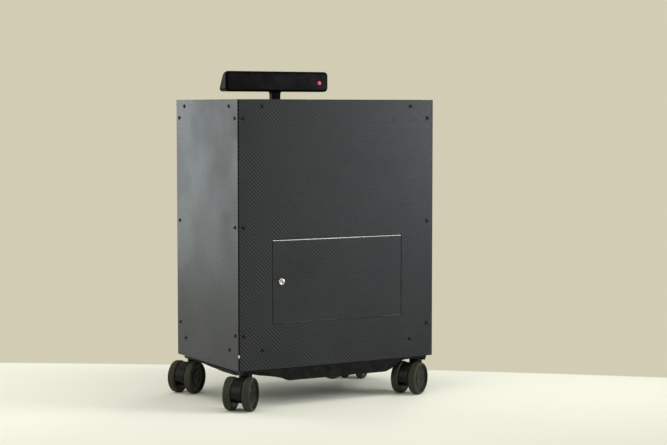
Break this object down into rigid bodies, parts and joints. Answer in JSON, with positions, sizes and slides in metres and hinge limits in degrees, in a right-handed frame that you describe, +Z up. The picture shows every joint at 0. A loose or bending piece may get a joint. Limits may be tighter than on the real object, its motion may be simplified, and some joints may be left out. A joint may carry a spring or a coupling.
{
  "type": "self balancing robot",
  "caption": "Boxed self balancing robot on twin-wheel casters, with two powered wheels that lower, a lockable service door and a tilting sensor bar.",
  "frame": {"origin": "on the floor under the middle of the body", "axes": "+X to the right seen from the door side, +Y to the rear, +Z up"},
  "size_m": [0.3711, 0.2525, 0.504],
  "materials": {
    "carbon_panel": "satin carbon-look film on sheet",
    "frame_aluminium": "natural anodised",
    "pan_plastic": "smooth satin black",
    "caster_plastic": "semi-gloss black nylon",
    "caster_hub": "matte black moulding",
    "caster_rubber": "soft grey rubber",
    "drive_rubber": "black rubber, moulded tread",
    "roller_rubber": "ribbed black rubber",
    "motor_metal": "turned aluminium",
    "black_screw": "black oxide",
    "steel": "ground steel",
    "chrome": "bright chrome",
    "bronze": "sintered bronze",
    "battery_sleeve": "heat-shrink sleeve",
    "computer_case": "black anodised, finned",
    "board": "solder mask",
    "sensor_plastic": "fine matte black",
    "window_gloss": "infrared-black gloss",
    "lens": "coated",
    "lamp_red": "red lens"
  },
  "bodies": {
    "chassis": {"base_plate": "frame_aluminium", "corner_posts": "frame_aluminium", "frame_rails": "frame_aluminium", "front_panel": "carbon_panel", "rear_panel": "carbon_panel", "left_panel": "carbon_panel", "right_panel": "carbon_panel", "top_panel": "carbon_panel", "panel_screws": "black_screw", "top_screws": "black_screw", "belly_pan": "pan_plastic", "hinge_frame_arms": "steel", "equipment_shelf": "frame_aluminium", "battery_pack": "battery_sleeve", "computer_box": "computer_case", "control_board": "board", "caster_stems": "black_screw", "guide_rods": "steel", "lift_bridge": "frame_aluminium", "lift_motor": "motor_metal", "guard_roller_pin": "steel", "sensor_foot": "sensor_plastic", "sensor_neck": "sensor_plastic"},
    "door": {"door_leaf": "carbon_panel", "hinge_door_leaves": "steel", "hinge_pins": "steel", "lock_barrel": "chrome"},
    "lock": {"lock_cam": "chrome"},
    "lift_screw": {"lead_screw": "steel"},
    "drive_unit": {"lift_carriage": "frame_aluminium", "carriage_bushes": "bronze", "carriage_nut": "bronze", "drive_axles": "steel"},
    "drive_wheel_left": {"drive_hub_left": "motor_metal", "drive_tyre_left": "drive_rubber"},
    "drive_wheel_right": {"drive_hub_right": "motor_metal", "drive_tyre_right": "drive_rubber"},
    "roller": {"guard_roller": "roller_rubber"},
    "sensor_bar": {"sensor_housing": "sensor_plastic", "sensor_window": "window_gloss", "sensor_lenses": "lens", "sensor_lamp": "lamp_red", "sensor_tilt_pin": "steel"},
    "caster_front_left": {"caster_front_left_body": "caster_plastic"},
    "wheels_front_left": {"caster_front_left_axle": "steel", "caster_front_left_hubs": "caster_hub", "caster_front_left_tyres": "caster_rubber"},
    "caster_front_right": {"caster_front_right_body": "caster_plastic"},
    "wheels_front_right": {"caster_front_right_axle": "steel", "caster_front_right_hubs": "caster_hub", "caster_front_right_tyres": "caster_rubber"},
    "caster_rear_left": {"caster_rear_left_body": "caster_plastic"},
    "wheels_rear_left": {"caster_rear_left_axle": "steel", "caster_rear_left_hubs": "caster_hub", "caster_rear_left_tyres": "caster_rubber"},
    "caster_rear_right": {"caster_rear_right_body": "caster_plastic"},
    "wheels_rear_right": {"caster_rear_right_axle": "steel", "caster_rear_right_hubs": "caster_hub", "caster_rear_right_tyres": "caster_rubber"}
  },
  "joints": [
    {"name": "door_hinge", "type": "hinge", "parent": "chassis", "child": "door", "pos_m": [0.098, -0.1013, 0.1875], "axis": [0, 0, 1], "range_deg": [0, 90]},
    {"name": "lock_turn", "type": "hinge", "parent": "door", "child": "lock", "pos_m": [-0.0973, -0.106, 0.1875], "axis": [0, 1, 0], "range_deg": [0, 90]},
    {"name": "drive_lift", "type": "slide", "parent": "chassis", "child": "drive_unit", "axis": [0, 0, -1], "range_m": [0, 0.036]},
    {"name": "lift_screw_turn", "type": "hinge", "parent": "chassis", "child": "lift_screw", "pos_m": [0, 0.02, 0.09], "axis": [0, 0, 1], "range_deg": [-30, 1690]},
    {"name": "drive_left_spin", "type": "hinge", "parent": "drive_unit", "child": "drive_wheel_left", "pos_m": [-0.102, 0, 0.074], "axis": [1, 0, 0], "continuous": true},
    {"name": "drive_right_spin", "type": "hinge", "parent": "drive_unit", "child": "drive_wheel_right", "pos_m": [0.102, 0, 0.074], "axis": [1, 0, 0], "continuous": true},
    {"name": "roller_spin", "type": "hinge", "parent": "chassis", "child": "roller", "pos_m": [0, -0.0895, 0.0436], "axis": [1, 0, 0], "continuous": true},
    {"name": "sensor_tilt", "type": "hinge", "parent": "chassis", "child": "sensor_bar", "pos_m": [0, 0.098, 0.4775], "axis": [1, 0, 0], "range_deg": [-15, 15]},
    {"name": "swivel_front_left", "type": "hinge", "parent": "chassis", "child": "caster_front_left", "pos_m": [-0.15, -0.09, 0.048], "axis": [0, 0, 1], "continuous": true},
    {"name": "roll_front_left", "type": "hinge", "parent": "caster_front_left", "child": "wheels_front_left", "pos_m": [-0.16583, -0.10528, 0.025], "axis": [0.6947, -0.7193, 0], "continuous": true},
    {"name": "swivel_front_right", "type": "hinge", "parent": "chassis", "child": "caster_front_right", "pos_m": [0.15, -0.09, 0.048], "axis": [0, 0, 1], "continuous": true},
    {"name": "roll_front_right", "type": "hinge", "parent": "caster_front_right", "child": "wheels_front_right", "pos_m": [0.13114, -0.10133, 0.025], "axis": [0.515, -0.8572, 0], "continuous": true},
    {"name": "swivel_rear_left", "type": "hinge", "parent": "chassis", "child": "caster_rear_left", "pos_m": [-0.15, 0.09, 0.048], "axis": [0, 0, 1], "continuous": true},
    {"name": "roll_rear_left", "type": "hinge", "parent": "caster_rear_left", "child": "wheels_rear_left", "pos_m": [-0.16824, 0.0777, 0.025], "axis": [0.5592, -0.829, 0], "continuous": true},
    {"name": "swivel_rear_right", "type": "hinge", "parent": "chassis", "child": "caster_rear_right", "pos_m": [0.15, 0.09, 0.048], "axis": [0, 0, 1], "continuous": true},
    {"name": "roll_rear_right", "type": "hinge", "parent": "caster_rear_right", "child": "wheels_rear_right", "pos_m": [0.13365, 0.07528, 0.025], "axis": [0.6691, -0.7431, 0], "continuous": true}
  ],
  "couplings": [
    {"joint": "lift_screw_turn", "follows": "drive_lift", "rad_per_m": 785.4}
  ]
}
